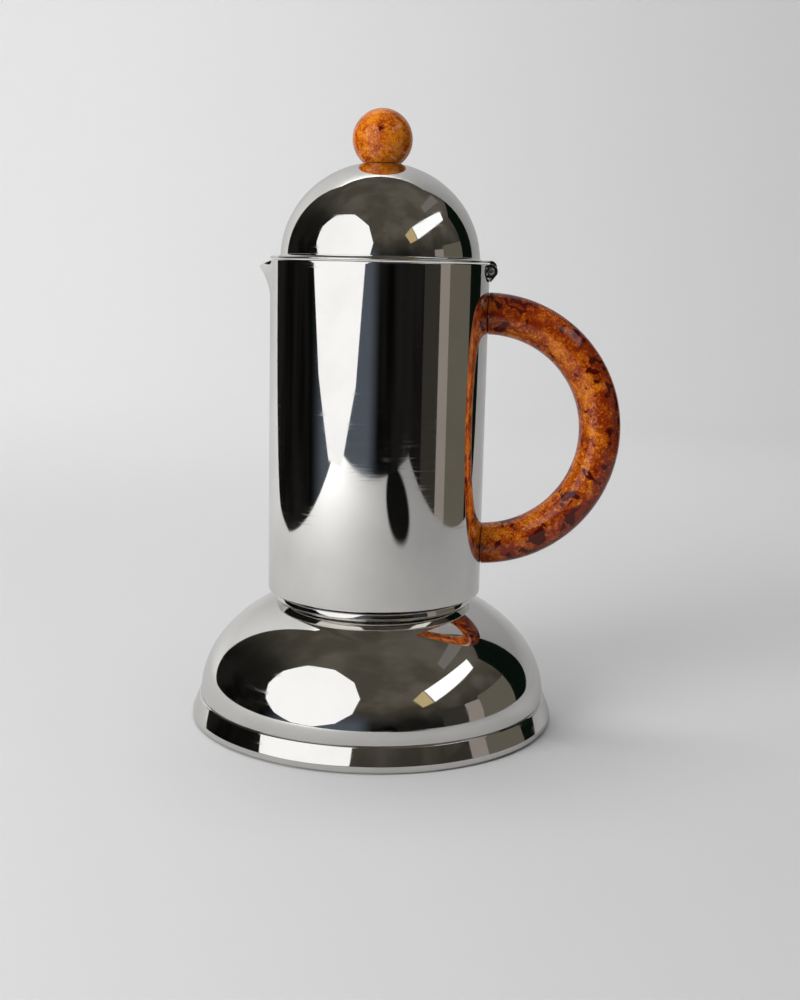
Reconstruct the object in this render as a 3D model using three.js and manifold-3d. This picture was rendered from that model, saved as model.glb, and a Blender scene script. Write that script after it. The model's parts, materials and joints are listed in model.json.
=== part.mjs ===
// A stovetop moka pot in polished steel with resin grips: a domed boiler, a coffee basket with its
// funnel, a screwed-on jug with a spout and a ring handle, and a hinged domed lid with a ball knob.
// Millimetres, +Z up, origin on the pot's axis at its underside. Handle at +X, spout at -X.
import * as THREE from "three";
import { mergeVertices } from "three/addons/utils/BufferGeometryUtils.js";
import Module from "manifold-3d";

const wasm = await Module();
wasm.setup();

// ---------- driving dimensions ----------

const GAP = 0.3; // between pieces that are fixed to each other
const RUN = 0.5; // between pieces that turn or slide past each other

const boiler = { radius: 66.8, rise: 44.9, wall: 1.5 };
const foot = { flare: 3.2, step: 0.8, height: 9.3, edge: 0.5, lip: 2.2, lipInset: 1, sheet: 1.4 };
const thermal = { inset: 8, thickness: 5.5, chamfer: 0.6 };
const valve = {
  height: 20.4, // up the dome from the foot's edge
  across: 13, // hexagon, across its flats
  flange: 5,
  barrel: { radius: 4.6, length: 3 },
  shank: { radius: 4.1, depth: 9 },
  bore: 2.3,
  cap: 1.2,
  washer: { thickness: 1, lip: 1 },
  nut: 3,
  seat: { orifice: 0.9, thickness: 2 },
  pin: { radius: 1.1, collar: 1.7, proud: 2, travel: 1.5, chamfer: 0.4 },
  spring: { wire: 0.25, turns: 5 },
};
const collar = { inset: 3, height: 1.9, edge: 0.5, lean: 0.4, recess: 1.4, reveal: 1.5 };
const thread = { ridge: 1, pitch: 4, turns: 1, depth: 1.5 };
const ring = { wall: 2.1, shoulder: 2.3 }; // the shoulder is in from the jug's outside
const neckWall = 3.4;
const cup = { depth: 21, sheet: 0.8, flange: 1 };
const funnel = { radius: 5, cone: 5, clearance: 6 };
const strainer = { thickness: 0.6, hole: 0.8, rings: 2, spacing: 10 };
const gasket = { thickness: 3.6, width: 6.9 };
const filter = { thickness: 0.8, hole: 0.8, rings: 2, spacing: 10, rim: 1.6 };
const column = { foot: 11, footHeight: 1.5, radius: 7.5, taper: 2, wall: 1.1, drop: 26.6, spigot: 2 };
const slot = { width: 3, height: 6, below: 2 };
const cap = { height: 3.5, spigot: 2, brim: 1 };
const jug = { radius: 41, height: 125, wall: 1, edge: 1.2, lipEdge: [0.25, 0.4], floor: 1.2 };
const spout = { reach: 4.3, height: 13.8, dip: 2.5, halfAngle: 18, draw: 1.3 };
const handle = { radius: 7.9, drop: 18.4, lift: 4.3 }; // its ends, below the rim and above the floor
const screw = { radius: 1.7, head: 3.2, headHeight: 1.8, length: 14, washer: 0.8, washerLip: 0.7 };
const headTop = 0.6; // of a screw's head, the share of its radius that is flat
const hinge = {
  drop: 0.1, // of the knuckle below the rim
  length: 16,
  knuckle: 2.6,
  tail: 4, // of the bracket's point below the pin
  leaf: { width: 5.4, taper: 0.4 },
  pin: { radius: 1.1, head: 0.6, edge: 0.2 },
};
const lid = { wall: 1, brim: 3.7, brimThickness: 0.9, rise: 36 };
const knob = { radius: 11.15, sink: 3.05 };
const knobScrew = { radius: 1.5, head: 3.5, headHeight: 1.8, length: 11, washer: 0.8, washerLip: 0.5 };

const AROUND = 36; // sides of a large turned piece
const FINE = 44; // sides of the jug's shell, which carries the spout
const SMALL = 12; // sides of a small turned piece
const ARC = 6; // steps along a dome's outline

// ---------- places that follow from the sizes ----------

const domeBase = foot.height + GAP;
const domeZ = (r, inset = 0) =>
  domeBase + (boiler.rise - inset) * Math.sqrt(1 - (r / (boiler.radius - inset)) ** 2);

const footRadius = boiler.radius + foot.flare;
const panFloor = thermal.thickness + GAP + foot.sheet;

const collarRadius = jug.radius - collar.inset;
const ringOuter = collarRadius - collar.recess;
const ringInner = ringOuter - ring.wall;
const neckOuter = ringInner - thread.depth;
const neckBore = neckOuter - neckWall;
const cupRadius = neckBore - RUN;
const cupInner = cupRadius - cup.sheet;

const collarTop = domeZ(collarRadius) + GAP + collar.height;
const jugBottom = collarTop + collar.reveal;
const ringBottom = collarTop + GAP;
const ringThread = ringBottom + thread.ridge + GAP;
const neckThread = ringThread + thread.pitch / 2;
const neckTop = neckThread + thread.pitch * thread.turns + thread.ridge + GAP;
const basketTop = neckTop + GAP + cup.flange;
const cupFloor = basketTop - cup.depth;
const gasketBottom = basketTop + GAP;
const gasketInner = ringInner - GAP - gasket.width;
const floorBottom = gasketBottom + gasket.thickness + GAP;
const floorTop = floorBottom + jug.floor;
const rim = jugBottom + jug.height;

const columnTop = rim - column.drop;
const columnTopRadius = column.radius - column.taper;
const handleTop = rim - handle.drop;
const handleBottom = floorTop + handle.lift;
const handleReach = (handleTop - handleBottom) / 2;
const hingeZ = rim - hinge.drop - hinge.knuckle;
const brimBottom = rim + GAP;
const brimTop = brimBottom + lid.brimThickness;
const lidRadius = jug.radius - lid.brim;
const lidZ = (r, inset = 0) =>
  brimBottom + (lid.rise - inset) * Math.sqrt(1 - (r / (lidRadius - inset)) ** 2);
const knobZ = brimBottom + lid.rise + knob.radius - knob.sink;

// ---------- materials ----------

const steel = (color, roughness) =>
  new THREE.MeshStandardMaterial({ color, roughness, metalness: 1 });
const polished = steel(0xd6d7d8, 0.08);
const brushed = steel(0xb9babc, 0.35);
const brass = steel(0xc9a45a, 0.3);
const resin = new THREE.MeshStandardMaterial({ color: 0x9a4413, roughness: 0.15 });
const rubber = new THREE.MeshStandardMaterial({ color: 0xe6e2d8, roughness: 0.7 });
const fibre = new THREE.MeshStandardMaterial({ color: 0xa33b2b, roughness: 0.8 });

// ---------- geometry helpers ----------

// A body of revolution about Z from [radius, height] points. A profile that leaves the axis free
// closes on itself.
function turned(profile, sides = AROUND) {
  const points = profile.map(([r, z]) => new THREE.Vector2(r, z));
  if (THREE.ShapeUtils.area(points) < 0) points.reverse();
  if (points[0].x > 0) points.push(points[0].clone());
  return new THREE.LatheGeometry(points, sides).rotateX(Math.PI / 2);
}

// A quarter-ellipse outline about (0, base), from one radius to another.
function arch(radius, rise, base, fromRadius, toRadius, steps = ARC) {
  const start = Math.acos(fromRadius / radius);
  const end = Math.acos(toRadius / radius);
  return Array.from({ length: steps + 1 }, (_, i) => {
    const angle = start + ((end - start) * i) / steps;
    return [radius * Math.cos(angle), base + rise * Math.sin(angle)];
  });
}

// A circular fillet of an outline about (r, z), between two angles in degrees.
function fillet(r, z, radius, from, to, steps = 3) {
  return Array.from({ length: steps + 1 }, (_, i) => {
    const angle = THREE.MathUtils.degToRad(from + ((to - from) * i) / steps);
    return [r + radius * Math.cos(angle), z + radius * Math.sin(angle)];
  });
}

// A rod along Z, from one height to another.
function rod(radius, from, to, sides = SMALL) {
  return turned([[0, from], [radius, from], [radius, to], [0, to]], sides);
}

function tube(outer, inner, from, to, sides = SMALL) {
  return turned([[inner, from], [outer, from], [outer, to], [inner, to]], sides);
}

// A hexagonal prism along Z with a round bore.
function hexNut(across, bore, from, to) {
  const corner = across / 2 / Math.cos(Math.PI / 6);
  return cut(turned([[0, from], [corner, from], [corner, to], [0, to]], 6), rod(bore, from - 1, to + 1));
}

function box(xFrom, xTo, yFrom, yTo, zFrom, zTo) {
  return new THREE.BoxGeometry(xTo - xFrom, yTo - yFrom, zTo - zFrom).translate(
    (xFrom + xTo) / 2,
    (yFrom + yTo) / 2,
    (zFrom + zTo) / 2,
  );
}

// A shape drawn in the XZ plane, extruded along Y between two values.
function plate(shape, yFrom, yTo) {
  return new THREE.ExtrudeGeometry(shape, { depth: yTo - yFrom, bevelEnabled: false, curveSegments: 8 })
    .rotateX(Math.PI / 2)
    .translate(0, yTo, 0);
}

class Helix extends THREE.Curve {
  constructor(radius, pitch, turns, start) {
    super();
    Object.assign(this, { radius, pitch, turns, start });
  }
  getPoint(t, target = new THREE.Vector3()) {
    const angle = 2 * Math.PI * this.turns * t;
    return target.set(
      this.radius * Math.cos(angle),
      this.radius * Math.sin(angle),
      this.start + this.pitch * this.turns * t,
    );
  }
}

// A wire of round section bent along a curve.
function wire(radius, path, steps, sides) {
  const section = new THREE.Shape().absarc(0, 0, radius, 0, 2 * Math.PI);
  return new THREE.ExtrudeGeometry(section, { steps, curveSegments: sides, extrudePath: path });
}

function solidOf(geometry) {
  const bare = new THREE.BufferGeometry().setAttribute("position", geometry.getAttribute("position"));
  const merged = mergeVertices(bare.setIndex(geometry.getIndex()), 1e-3);
  return new wasm.Manifold(
    new wasm.Mesh({
      numProp: 3,
      vertProperties: merged.getAttribute("position").array,
      triVerts: new Uint32Array(merged.getIndex().array),
    }),
  );
}

function geometryOf(solid) {
  const mesh = solid.getMesh();
  return new THREE.BufferGeometry()
    .setAttribute("position", new THREE.BufferAttribute(mesh.vertProperties, 3))
    .setIndex(new THREE.BufferAttribute(mesh.triVerts, 1));
}

const cut = (geometry, ...tools) =>
  geometryOf(tools.reduce((solid, tool) => solid.subtract(solidOf(tool)), solidOf(geometry)));
const join = (geometry, ...others) =>
  geometryOf(others.reduce((solid, other) => solid.add(solidOf(other)), solidOf(geometry)));

function add(parent, name, geometry, material) {
  const mesh = new THREE.Mesh(geometry, material);
  mesh.name = name;
  parent.add(mesh);
}

// ---------- boiler ----------

// A place on the dome's rear, with its own Z along the outward normal and its origin on the surface.
function valvePlace() {
  const r = boiler.radius * Math.sqrt(1 - (valve.height / boiler.rise) ** 2);
  const place = new THREE.Group();
  const normal = new THREE.Vector3(0, r / boiler.radius ** 2, valve.height / boiler.rise ** 2);
  place.position.set(0, r, domeBase + valve.height);
  place.quaternion.setFromUnitVectors(new THREE.Vector3(0, 0, 1), normal.normalize());
  place.updateMatrix();
  return place;
}

// The brazed disc under the pot, which it stands on.
function thermalDisc() {
  const radius = boiler.radius - thermal.inset + foot.flare;
  return turned([
    [0, 0],
    [radius - thermal.chamfer, 0],
    [radius, thermal.chamfer],
    [radius, thermal.thickness],
    [0, thermal.thickness],
  ]);
}

// The boiler's pressed bottom, with the flared foot as its edge.
function basePan() {
  const top = boiler.radius + foot.step;
  const inside = boiler.radius - boiler.wall;
  const underside = thermal.thickness + GAP;
  return turned([
    [0, underside],
    [top - foot.sheet - GAP, underside],
    [footRadius - foot.lipInset - foot.sheet, GAP],
    [footRadius - foot.lipInset, GAP],
    ...fillet(footRadius - foot.lipInset, GAP + foot.lipInset, foot.lipInset, -60, 0, 2),
    [footRadius, foot.lip],
    [top, foot.height - foot.edge],
    [top - foot.edge, foot.height],
    [inside, foot.height],
    [inside, panFloor],
    [0, panFloor],
  ]);
}

function boilerDome() {
  const inner = boiler.radius - boiler.wall;
  const rise = boiler.rise - boiler.wall;
  const shell = turned([
    ...arch(boiler.radius, boiler.rise, domeBase, boiler.radius, ringOuter),
    ...arch(inner, rise, domeBase, ringOuter, inner),
  ]);
  const { shank } = valve;
  const hole = rod(shank.radius + GAP, -shank.depth, valve.flange).applyMatrix4(valvePlace().matrix);
  return cut(shell, hole);
}

// The turned neck in the dome's opening: the round collar outside, the thread above it.
function boilerNeck() {
  const { lean, edge } = collar;
  const spigot = ringOuter - GAP;
  const bottom = domeZ(ringOuter) - boiler.wall - 2;
  const neck = turned([
    [neckBore, bottom],
    [spigot, bottom],
    [spigot, domeZ(spigot) + GAP],
    [collarRadius, domeZ(collarRadius) + GAP],
    ...fillet(collarRadius - lean - edge, collarTop - edge, edge, 0, 90, 2),
    [neckOuter, collarTop],
    [neckOuter, neckTop],
    [neckBore, neckTop],
  ]);
  return join(neck, threadRidge(neckOuter, neckThread));
}

function threadRidge(radius, start) {
  const path = new Helix(radius, thread.pitch, thread.turns, start);
  return wire(thread.ridge, path, AROUND * thread.turns, 3);
}

// ---------- safety valve, in its own place: Z outwards, 0 on the dome ----------

const washerTop = GAP + valve.washer.thickness;
const flangeTop = washerTop + GAP + valve.flange;
const barrelTop = flangeTop + valve.barrel.length;
const seatTop = valve.seat.thickness - valve.shank.depth;
const pinBottom = seatTop + GAP;
const collarEnd = pinBottom + valve.pin.collar;
const boreTop = barrelTop - valve.cap;

function valveBody() {
  const { shank, barrel, bore, pin } = valve;
  const outside = join(
    rod(shank.radius, -shank.depth, washerTop + 1),
    hexNut(valve.across, bore, washerTop + GAP, flangeTop),
    rod(barrel.radius, flangeTop - 1, barrelTop),
  );
  const inside = rod(bore, -shank.depth - 1, boreTop);
  return cut(outside, inside, rod(pin.radius + GAP, boreTop - 1, barrelTop + 1));
}

function valvePin() {
  const { pin, bore } = valve;
  return turned(
    [
      [0, pinBottom],
      [bore - GAP, pinBottom],
      [bore - GAP, collarEnd],
      [pin.radius, collarEnd],
      [pin.radius, barrelTop + pin.proud - pin.chamfer],
      [pin.radius - pin.chamfer, barrelTop + pin.proud],
      [0, barrelTop + pin.proud],
    ],
    SMALL,
  );
}

// Drawn at the length it has when the pin is fully out, so that the pin's collar never meets it.
function valveSpring() {
  const { pin, spring, bore } = valve;
  const start = collarEnd + pin.travel + GAP + spring.wire;
  const length = boreTop - GAP - spring.wire - start;
  const radius = (pin.radius + bore) / 2;
  return wire(spring.wire, new Helix(radius, length / spring.turns, spring.turns, start), 45, 2);
}

function addValve(fixed, moving) {
  const place = valvePlace();
  const movingPlace = valvePlace();
  const { shank, washer, bore, seat, across } = valve;
  const insideDome = -boiler.wall - 3 * GAP; // the nut is flat and the dome behind it is round
  add(place, "valve_body", valveBody(), brass);
  add(place, "valve_washer", tube(across / 2 + washer.lip, shank.radius + GAP, GAP, washerTop, 24), fibre);
  const nutBottom = insideDome - valve.nut;
  add(place, "valve_nut", hexNut(across, shank.radius + GAP, nutBottom, insideDome), brass);
  add(place, "valve_seat", tube(bore - GAP, seat.orifice, -shank.depth, seatTop), brass);
  add(place, "valve_spring", valveSpring(), brushed);
  add(movingPlace, "valve_pin", valvePin(), brass);
  fixed.add(place);
  moving.add(movingPlace);
}

// ---------- basket ----------

// The coffee cup with its flange on the neck, its sloped floor and the funnel down to the water.
function filterBasket() {
  const inside = funnel.radius - cup.sheet;
  const coneBottom = cupFloor - funnel.cone;
  const tubeBottom = panFloor + funnel.clearance;
  return turned([
    [neckOuter, basketTop - cup.flange],
    [neckOuter, basketTop],
    [cupInner, basketTop],
    [cupInner, cupFloor + cup.sheet],
    [inside, coneBottom + cup.sheet],
    [inside, tubeBottom],
    [funnel.radius, tubeBottom],
    [funnel.radius, coneBottom],
    [cupRadius, cupFloor],
    [cupRadius, basketTop - cup.flange],
  ]);
}

// A centre hole and rings of six, twelve and more holes, as cutting rods.
function holePattern({ hole, rings, spacing }, from, to) {
  const holes = [rod(hole, from, to, 5)];
  for (let ring = 1; ring <= rings; ring++) {
    for (let i = 0; i < 6 * ring; i++) {
      const angle = (2 * Math.PI * i) / (6 * ring);
      const r = ring * spacing;
      holes.push(rod(hole, from, to, 5).translate(r * Math.cos(angle), r * Math.sin(angle), 0));
    }
  }
  return holes;
}

function basketStrainer() {
  const bottom = cupFloor + cup.sheet + GAP;
  const disc = rod(cupInner - GAP, bottom, bottom + strainer.thickness, AROUND);
  return cut(disc, ...holePattern(strainer, bottom - 1, bottom + 2));
}

// ---------- jug ----------

// Draws the wall out to the lip of the spout: narrow, deepest at the rim, with a dip at its tip.
function drawSpout(geometry) {
  const position = geometry.getAttribute("position");
  const half = THREE.MathUtils.degToRad(spout.halfAngle);
  for (let i = 0; i < position.count; i++) {
    const [x, y, z] = [position.getX(i), position.getY(i), position.getZ(i)];
    const off = Math.abs(Math.atan2(y, -x));
    if (off > half) continue;
    const up = THREE.MathUtils.clamp((z - rim + spout.height) / spout.height, 0, 1);
    const amount = Math.cos((off / half) * (Math.PI / 2)) ** 2 * up ** spout.draw;
    const r = Math.hypot(x, y);
    const stretch = (r + spout.reach * amount) / r;
    position.setXYZ(i, x * stretch, y * stretch, z - spout.dip * amount * up);
  }
  return geometry;
}

function jugShell() {
  const { radius, wall, edge, lipEdge } = jug;
  const inner = radius - wall;
  const mouth = ringOuter + GAP;
  const [edgeIn, edgeDown] = lipEdge;
  const levels = [0, 0.3, 0.55, 0.8, 1].map((t) => rim - edgeDown - (1 - t) * spout.height);
  const shell = turned(
    [
      [mouth, jugBottom],
      ...fillet(radius - edge, jugBottom + edge, edge, -90, 0),
      ...levels.map((z) => [radius, z]),
      [radius - edgeIn, rim],
      [inner + edgeIn, rim],
      ...levels.map((z) => [inner, z]).reverse(),
      ...fillet(radius - edge, jugBottom + edge, edge - wall, 0, -90),
      [mouth, jugBottom + wall],
    ],
    FINE,
  );
  const halfNotch = hinge.length / 2 + GAP + hinge.pin.head + RUN;
  const notchBottom = hingeZ - hinge.knuckle - GAP;
  return cut(
    drawSpout(shell),
    box(radius - 4, radius + 4, -halfNotch, halfNotch, notchBottom, rim + 5),
    ...screwHeights.map((z) => along(rod(screw.radius + GAP, inner - 2, radius + 2), z)),
  );
}

function jugFloor() {
  const hole = column.radius + GAP;
  return tube(jug.radius - jug.wall - GAP, hole, floorBottom, floorTop, AROUND);
}

// The threaded ring under the jug's floor, seen as the dark step above the collar.
function jugRing() {
  const shoulder = jugBottom + jug.wall + GAP;
  const outer = jug.radius - ring.shoulder;
  const body = turned([
    [ringInner, ringBottom],
    [ringOuter, ringBottom],
    [ringOuter, shoulder],
    [outer, shoulder],
    [outer, floorBottom - GAP],
    [ringInner, floorBottom - GAP],
  ]);
  return join(body, threadRidge(ringInner, ringThread));
}

function filterPlate() {
  const radius = gasketInner - GAP;
  const bottom = gasketBottom + filter.rim;
  const plateGeometry = turned([
    [0, bottom],
    [radius - filter.thickness, bottom],
    [radius, bottom - filter.rim + GAP],
    [radius, bottom + filter.thickness],
    [0, bottom + filter.thickness],
  ]);
  return cut(plateGeometry, ...holePattern(filter, bottom - 1, bottom + 2));
}

function coffeeColumn() {
  const { foot: flange, footHeight, radius, wall, spigot } = column;
  const bottom = floorTop + GAP;
  const body = turned(
    [
      [radius - wall, floorTop - spigot],
      [radius, floorTop - spigot],
      [radius, bottom],
      [flange, bottom],
      [flange, bottom + footHeight / 2],
      [radius, bottom + footHeight],
      [columnTopRadius, columnTop],
      [columnTopRadius - wall, columnTop],
      [radius - wall, bottom + footHeight],
    ],
    24,
  );
  const top = columnTop - slot.below;
  return cut(body, box(-radius, radius, -slot.width / 2, slot.width / 2, top - slot.height, top));
}

// The hat on the column, held by its spigot above the two side slots.
function columnCap() {
  const bottom = columnTop + GAP;
  const spigotRadius = columnTopRadius - column.wall - GAP;
  return turned(
    [
      [0, columnTop - cap.spigot],
      [spigotRadius, columnTop - cap.spigot],
      [spigotRadius, bottom],
      ...arch(columnTopRadius + cap.brim, cap.height, bottom, columnTopRadius + cap.brim, 0, 4),
    ],
    24,
  );
}

// A piece along Z turned to lie along X at a height.
const along = (geometry, z) => geometry.rotateY(Math.PI / 2).translate(0, 0, z);
const screwHeights = [handleTop, handleBottom];

// A half ring of round section whose two straight ends are cut to the jug's wall.
function handleGrip() {
  const start = jug.radius - 5;
  const middle = (handleTop + handleBottom) / 2;
  const points = [new THREE.Vector3(start, 0, handleTop)];
  for (let angle = 90; angle >= -90; angle -= 15) {
    const a = THREE.MathUtils.degToRad(angle);
    const x = jug.radius + handleReach * Math.cos(a);
    points.push(new THREE.Vector3(x, 0, middle + handleReach * Math.sin(a)));
  }
  points.push(new THREE.Vector3(start, 0, handleBottom));
  const path = new THREE.CatmullRomCurve3(points, false, "centripetal");
  const grip = wire(handle.radius, path, 28, 8);
  const wall = rod(jug.radius + GAP, jugBottom, rim, FINE);
  const depth = screwTip + GAP;
  return cut(grip, wall, ...screwHeights.map((z) => along(rod(screw.radius + GAP, 0, depth), z)));
}

// A washer's flat face stands clear of the jug's curved inner wall.
const washerRadius = screw.head + screw.washerLip;
const washerFace = Math.sqrt((jug.radius - jug.wall) ** 2 - washerRadius ** 2) - GAP;
const headFace = washerFace - screw.washer - GAP;
const screwTip = headFace + screw.length;

function handleScrew(z) {
  const { radius, head, headHeight } = screw;
  const shaft = turned(
    [
      [0, headFace - headHeight],
      [head * headTop, headFace - headHeight],
      [head, headFace - headHeight / 2],
      [head, headFace],
      [radius, headFace],
      [radius, screwTip],
      [0, screwTip],
    ],
    SMALL,
  );
  return along(shaft, z);
}

function screwWasher(z) {
  return along(tube(washerRadius, screw.radius + GAP, washerFace - screw.washer, washerFace), z);
}

// ---------- lid hinge ----------

const circleAt = (radius) => new THREE.Path().absarc(jug.radius, hingeZ, radius, 0, 2 * Math.PI);
const pinBore = () => circleAt(hinge.pin.radius + GAP);

// Two rolled knuckles with a pointed tail on the jug's wall.
function hingeBracket() {
  const { knuckle, length, leaf, tail } = hinge;
  const wallX = jug.radius + GAP;
  const shape = new THREE.Shape()
    .moveTo(wallX, hingeZ - tail)
    .lineTo(jug.radius + knuckle, hingeZ)
    .absarc(jug.radius, hingeZ, knuckle, 0, 1.5 * Math.PI)
    .lineTo(wallX, hingeZ - knuckle);
  shape.holes.push(pinBore());
  const half = leaf.width / 2 + RUN;
  const room = box(wallX - 8, wallX + 8, -half, half, hingeZ - knuckle - RUN, rim);
  return cut(plate(shape, -length / 2, length / 2), room);
}

// The lid's own knuckle, with a strip up to the edge of the brim.
function lidLeaf() {
  const { knuckle, leaf } = hinge;
  const wallX = jug.radius + GAP;
  const start = Math.acos(GAP / knuckle);
  const shape = new THREE.Shape()
    .moveTo(jug.radius + knuckle, hingeZ)
    .lineTo(jug.radius + knuckle - leaf.taper, brimTop)
    .lineTo(wallX, brimTop)
    .lineTo(wallX, hingeZ + knuckle * Math.sin(start))
    .absarc(jug.radius, hingeZ, knuckle, start, 2 * Math.PI);
  shape.holes.push(pinBore());
  return plate(shape, -leaf.width / 2, leaf.width / 2);
}

function hingePin() {
  const end = hinge.length / 2 + GAP;
  const { radius, head, edge } = hinge.pin;
  const shaft = turned(
    [
      [0, -end - head],
      [radius + edge, -end - head],
      [radius + head, -end],
      [radius, -end],
      [radius, end],
      [radius + head, end],
      [radius + edge, end + head],
      [0, end + head],
    ],
    SMALL,
  );
  return shaft.rotateX(Math.PI / 2).translate(jug.radius, 0, hingeZ);
}

// ---------- lid ----------

function lidDome() {
  const hole = knobScrew.radius + GAP;
  const inner = lidRadius - lid.wall;
  const rise = lid.rise - lid.wall;
  return turned([
    [jug.radius, brimBottom],
    [jug.radius, brimTop],
    ...arch(lidRadius, lid.rise, brimBottom, lidRadius - 0.02, hole).filter(([, z]) => z > brimTop),
    ...arch(inner, rise, brimBottom, hole, inner),
  ]);
}

// A ball whose underside is dished to sit on the dome.
function knobBall() {
  const screwTop = knobScrewTop + GAP;
  const hole = knobScrew.radius + GAP;
  const seat = [];
  let r = hole;
  const surface = (at) => knobZ - Math.sqrt(knob.radius ** 2 - at ** 2);
  while (surface(r) < lidZ(r) + GAP) {
    seat.push([r, lidZ(r) + GAP]);
    r += 1;
  }
  const from = THREE.MathUtils.radToDeg(Math.asin((surface(r) - knobZ) / knob.radius));
  return turned(
    [[0, screwTop], [hole, screwTop], ...seat, ...fillet(0, knobZ, knob.radius, from, 90, 11)],
    24,
  );
}

const knobHead = lidZ(0, lid.wall) - 2 * GAP - knobScrew.washer - GAP;
const knobScrewTop = knobHead + knobScrew.length;

function knobFixing() {
  const { radius, head, headHeight } = knobScrew;
  return turned(
    [
      [0, knobHead - headHeight],
      [head * headTop, knobHead - headHeight],
      [head, knobHead - headHeight / 2],
      [head, knobHead],
      [radius, knobHead],
      [radius, knobScrewTop],
      [0, knobScrewTop],
    ],
    SMALL,
  );
}

function knobWasher() {
  const { radius, head, washer, washerLip } = knobScrew;
  const bottom = knobHead + GAP;
  return tube(head + washerLip, radius + GAP, bottom, bottom + washer, SMALL);
}

// ---------- assembly ----------

const pot = new THREE.Group();
const boilerGroup = new THREE.Group();
const valvePinGroup = new THREE.Group();
const basketGroup = new THREE.Group();
const jugGroup = new THREE.Group();
const lidGroup = new THREE.Group();
pot.add(boilerGroup, valvePinGroup, basketGroup, jugGroup, lidGroup);

add(boilerGroup, "thermal_disc", thermalDisc(), brushed);
add(boilerGroup, "base_pan", basePan(), polished);
add(boilerGroup, "boiler_dome", boilerDome(), polished);
add(boilerGroup, "boiler_neck", boilerNeck(), polished);
addValve(boilerGroup, valvePinGroup);

add(basketGroup, "filter_basket", filterBasket(), brushed);
add(basketGroup, "basket_strainer", basketStrainer(), brushed);

add(jugGroup, "jug_shell", jugShell(), polished);
add(jugGroup, "jug_floor", jugFloor(), brushed);
add(jugGroup, "jug_ring", jugRing(), brushed);
add(jugGroup, "gasket", tube(ringInner - GAP, gasketInner, gasketBottom, floorBottom - GAP, AROUND), rubber);
add(jugGroup, "filter_plate", filterPlate(), brushed);
add(jugGroup, "coffee_column", coffeeColumn(), polished);
add(jugGroup, "column_cap", columnCap(), polished);
add(jugGroup, "handle_grip", handleGrip(), resin);
screwHeights.forEach((z, i) => {
  const end = ["upper", "lower"][i];
  add(jugGroup, `handle_screw_${end}`, handleScrew(z), polished);
  add(jugGroup, `handle_washer_${end}`, screwWasher(z), rubber);
});
add(jugGroup, "hinge_bracket", hingeBracket(), polished);
add(jugGroup, "hinge_pin", hingePin(), polished);

add(lidGroup, "lid_dome", lidDome(), polished);
add(lidGroup, "lid_leaf", lidLeaf(), polished);
add(lidGroup, "knob", knobBall(), resin);
add(lidGroup, "knob_screw", knobFixing(), brushed);
add(lidGroup, "knob_washer", knobWasher(), brushed);

export default pot;
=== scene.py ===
"""A polished steel moka pot with tortoiseshell resin grips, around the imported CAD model.

Outlines are in millimetres, as on a drawing, and each mesh is made in metres. The pot's axis is Z,
its handle is at +X and its spout at -X.
"""
import json
import math

import bmesh
import bpy
from mathutils import Euler, Matrix, Vector


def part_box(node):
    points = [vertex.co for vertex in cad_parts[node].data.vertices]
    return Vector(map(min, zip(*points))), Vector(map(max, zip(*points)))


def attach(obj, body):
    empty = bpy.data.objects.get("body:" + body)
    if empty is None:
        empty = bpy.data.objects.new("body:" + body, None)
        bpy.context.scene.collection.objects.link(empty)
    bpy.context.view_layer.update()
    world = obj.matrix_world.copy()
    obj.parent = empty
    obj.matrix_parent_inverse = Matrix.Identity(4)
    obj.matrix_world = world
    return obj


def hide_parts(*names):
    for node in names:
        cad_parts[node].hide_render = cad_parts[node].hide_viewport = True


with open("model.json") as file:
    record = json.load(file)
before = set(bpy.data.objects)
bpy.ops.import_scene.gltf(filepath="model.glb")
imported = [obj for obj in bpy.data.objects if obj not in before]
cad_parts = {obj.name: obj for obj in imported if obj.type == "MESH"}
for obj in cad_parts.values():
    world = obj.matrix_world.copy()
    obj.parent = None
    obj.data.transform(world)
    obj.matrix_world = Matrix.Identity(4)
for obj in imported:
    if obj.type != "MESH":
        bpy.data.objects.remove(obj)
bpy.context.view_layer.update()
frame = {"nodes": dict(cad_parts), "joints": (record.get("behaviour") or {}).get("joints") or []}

MM = 0.001
AROUND = 256  # sides of a large turned piece
SMALL = 64  # sides of a small one
SHARP = math.radians(35)  # edges sharper than this stay crisp, or take a bevel


def mm_box(node):
    """A CAD node's lowest and highest corners at rest, in millimetres."""
    low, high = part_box(node)
    return low / MM, high / MM


# ---------- sizes from the frame, in millimetres ----------

shell_low, shell_high = mm_box("jug_shell")
JUG_R, JUG_FOOT, RIM = shell_high.y, shell_low.z, shell_high.z
SPOUT_REACH = (-shell_low.x - JUG_R) * 1.05  # the rim's rounded edge takes a little off its tip
lid_low, lid_high = mm_box("lid_dome")
BRIM_LOW, LID_TOP = lid_low.z, lid_high.z
dome_low, dome_high = mm_box("boiler_dome")
DOME_R, DOME_BASE = dome_high.x, dome_low.z
neck_low, neck_high = mm_box("boiler_neck")
COLLAR_R, NECK_TOP = neck_high.x, neck_high.z
ring_low, ring_high = mm_box("jug_ring")
pan_low, pan_high = mm_box("base_pan")
FOOT_R, FOOT_TOP = pan_high.x, pan_high.z
disc_low, disc_high = mm_box("thermal_disc")
knob_high = mm_box("knob")[1]
KNOB_R = knob_high.y
floor_low, floor_high = mm_box("jug_floor")
column_low, column_high = mm_box("coffee_column")
cap_low, cap_high = mm_box("column_cap")
BASKET_R = mm_box("filter_basket")[1].x
hinge_joint = next(j for j in frame["joints"] if j["name"] == "lid_hinge")
HINGE = Vector(hinge_joint["pos_m"]) / MM
bracket_low, bracket_high = mm_box("hinge_bracket")
leaf_low, leaf_high = mm_box("lid_leaf")
GRIP_TOP, GRIP_BOTTOM = (sum(mm_box("handle_screw_" + end), Vector()).z / 2 for end in ("upper", "lower"))
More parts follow.
